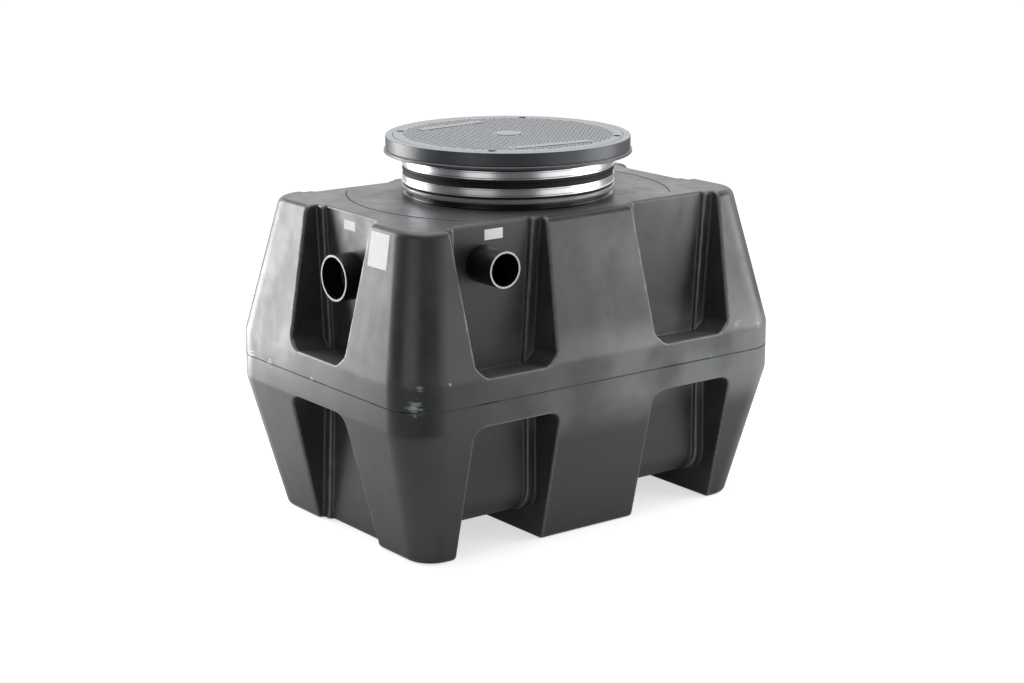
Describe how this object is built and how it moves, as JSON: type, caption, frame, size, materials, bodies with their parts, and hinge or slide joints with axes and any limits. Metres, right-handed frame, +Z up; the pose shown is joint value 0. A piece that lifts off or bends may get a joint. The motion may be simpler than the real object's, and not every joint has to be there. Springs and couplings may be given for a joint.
{
  "type": "oil separator",
  "caption": "Moulded plastic oil separator tank with pillared sides, pipe stubs in its bays, a clamped rubber neck and a round access cover.",
  "frame": {"origin": "on the ground under the middle of the tank", "axes": "+X along the tank, +Y across it towards the rear, +Z up"},
  "size_m": [1.155, 0.809, 0.946],
  "materials": {
    "tank_polyethylene": "satin",
    "pipe_plastic": "satin",
    "sleeve_rubber": "matt",
    "stainless_steel": "bright",
    "cover_composite": "matt"
  },
  "bodies": {
    "root": {"lower_front_wall": "tank_polyethylene", "upper_front_wall": "tank_polyethylene", "lower_right_end_wall": "tank_polyethylene", "upper_right_end_wall": "tank_polyethylene", "lower_rear_wall": "tank_polyethylene", "upper_rear_wall": "tank_polyethylene", "lower_left_end_wall": "tank_polyethylene", "upper_left_end_wall": "tank_polyethylene", "floor": "tank_polyethylene", "deck": "tank_polyethylene", "neck": "tank_polyethylene", "left_end_pipe": "pipe_plastic", "right_end_pipe": "pipe_plastic", "front_pipe": "pipe_plastic", "rubber_sleeve": "sleeve_rubber", "lower_band": "stainless_steel", "upper_band": "stainless_steel", "lower_band_screw": "stainless_steel", "upper_band_screw": "stainless_steel", "cover_frame": "cover_composite", "lid": "cover_composite"}
  },
  "joints": []
}
